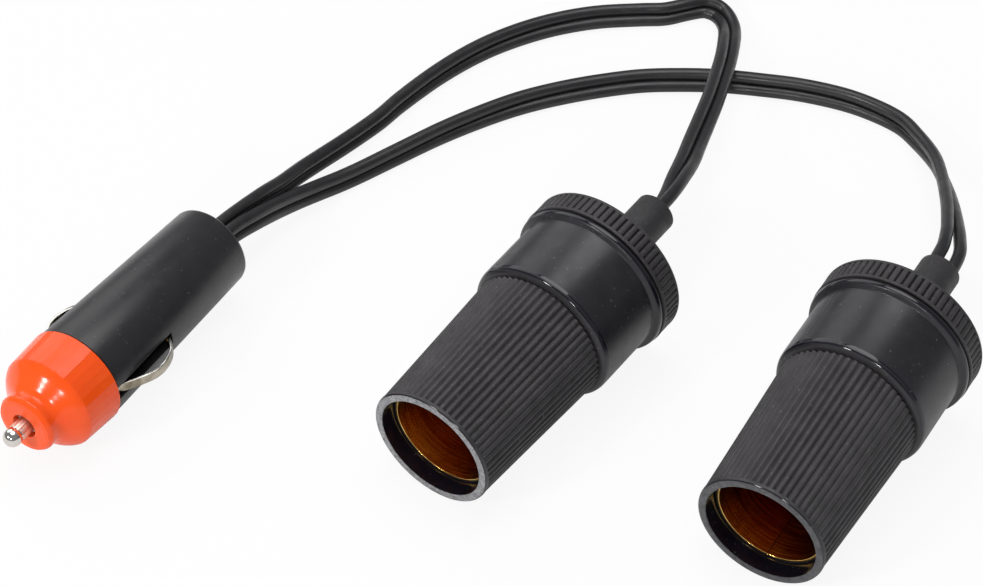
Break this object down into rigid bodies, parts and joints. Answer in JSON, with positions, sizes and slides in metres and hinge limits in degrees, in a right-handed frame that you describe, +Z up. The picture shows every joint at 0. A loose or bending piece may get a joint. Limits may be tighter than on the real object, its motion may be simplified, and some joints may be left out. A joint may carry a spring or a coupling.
{
  "type": "socket splitter",
  "caption": "Splitter for a 12 V car lighter socket: a fused plug with an orange nose and a sprung tip, flat twin cords, and fluted black sockets lined with brass.",
  "frame": {"origin": "on the floor, under the middle of the box round plug and sockets, without the cords", "axes": "+Y from the plug's nose to its rear, along the plug's axis; +X to the right, from the plug towards the sockets; +Z up"},
  "size_m": [0.1608, 0.1962, 0.0346],
  "materials": {
    "orange_plastic": "moulded, glossy orange-red",
    "black_plastic": "moulded, satin black",
    "nickel_plate": "nickel plated, lightly worn",
    "brass": "drawn sheet, bright with brown tarnish",
    "steel": "plain zinc plated",
    "fibre": "red-brown insulating board",
    "copper": "bared stranded copper",
    "fuse_glass": "clear fuse tube",
    "cord_sheath": "extruded, satin black"
  },
  "bodies": {
    "splitter": {"nose_cap": "orange_plastic", "plug_barrel": "black_plastic", "positive_terminal": "brass", "contact_ring": "brass", "plug_cord_end_1": "cord_sheath", "plug_cord_end_2": "cord_sheath", "plug_live_wire_1": "copper", "plug_live_wire_2": "copper", "plug_earth_wire_1": "copper", "plug_earth_wire_2": "copper", "housing_1": "black_plastic", "housing_2": "black_plastic", "brass_shell_1": "brass", "brass_shell_2": "brass", "back_cap_1": "black_plastic", "back_cap_2": "black_plastic", "insulating_disc_1": "fibre", "insulating_disc_2": "fibre", "centre_contact_1": "nickel_plate", "centre_contact_2": "nickel_plate", "positive_tag_1": "brass", "positive_tag_2": "brass", "contact_nut_1": "steel", "contact_nut_2": "steel", "negative_tag_1": "brass", "negative_tag_2": "brass", "socket_cord_end_1": "cord_sheath", "socket_cord_end_2": "cord_sheath", "socket_live_wire_1": "copper", "socket_live_wire_2": "copper", "socket_earth_wire_1": "copper", "socket_earth_wire_2": "copper", "cord_to_socket_1": "cord_sheath", "cord_to_socket_2": "cord_sheath"},
    "tip": {"tip_pin": "nickel_plate", "fuse_cap_front": "nickel_plate", "fuse_cap_rear": "nickel_plate", "fuse_glass": "fuse_glass", "fuse_wire": "steel", "fuse_spring": "steel"},
    "left_contact": {"side_contact_left": "nickel_plate"},
    "right_contact": {"side_contact_right": "nickel_plate"}
  },
  "joints": [
    {"name": "tip_press", "type": "slide", "parent": "splitter", "child": "tip", "axis": [0, 1, 0], "range_m": [0, 0.003], "stiffness_N_per_m": 600, "springref_m": -0.002, "deforming": ["fuse_spring"]},
    {"name": "left_contact_press", "type": "hinge", "parent": "splitter", "child": "left_contact", "pos_m": [-0.07487, -0.04734, 0.0103], "axis": [0.0523, 0, -0.9986], "range_deg": [0, 12], "stiffness_Nm_per_rad": 0.004},
    {"name": "right_contact_press", "type": "hinge", "parent": "splitter", "child": "right_contact", "pos_m": [-0.05889, -0.04734, 0.01114], "axis": [-0.0523, 0, 0.9986], "range_deg": [0, 12], "stiffness_Nm_per_rad": 0.004}
  ]
}
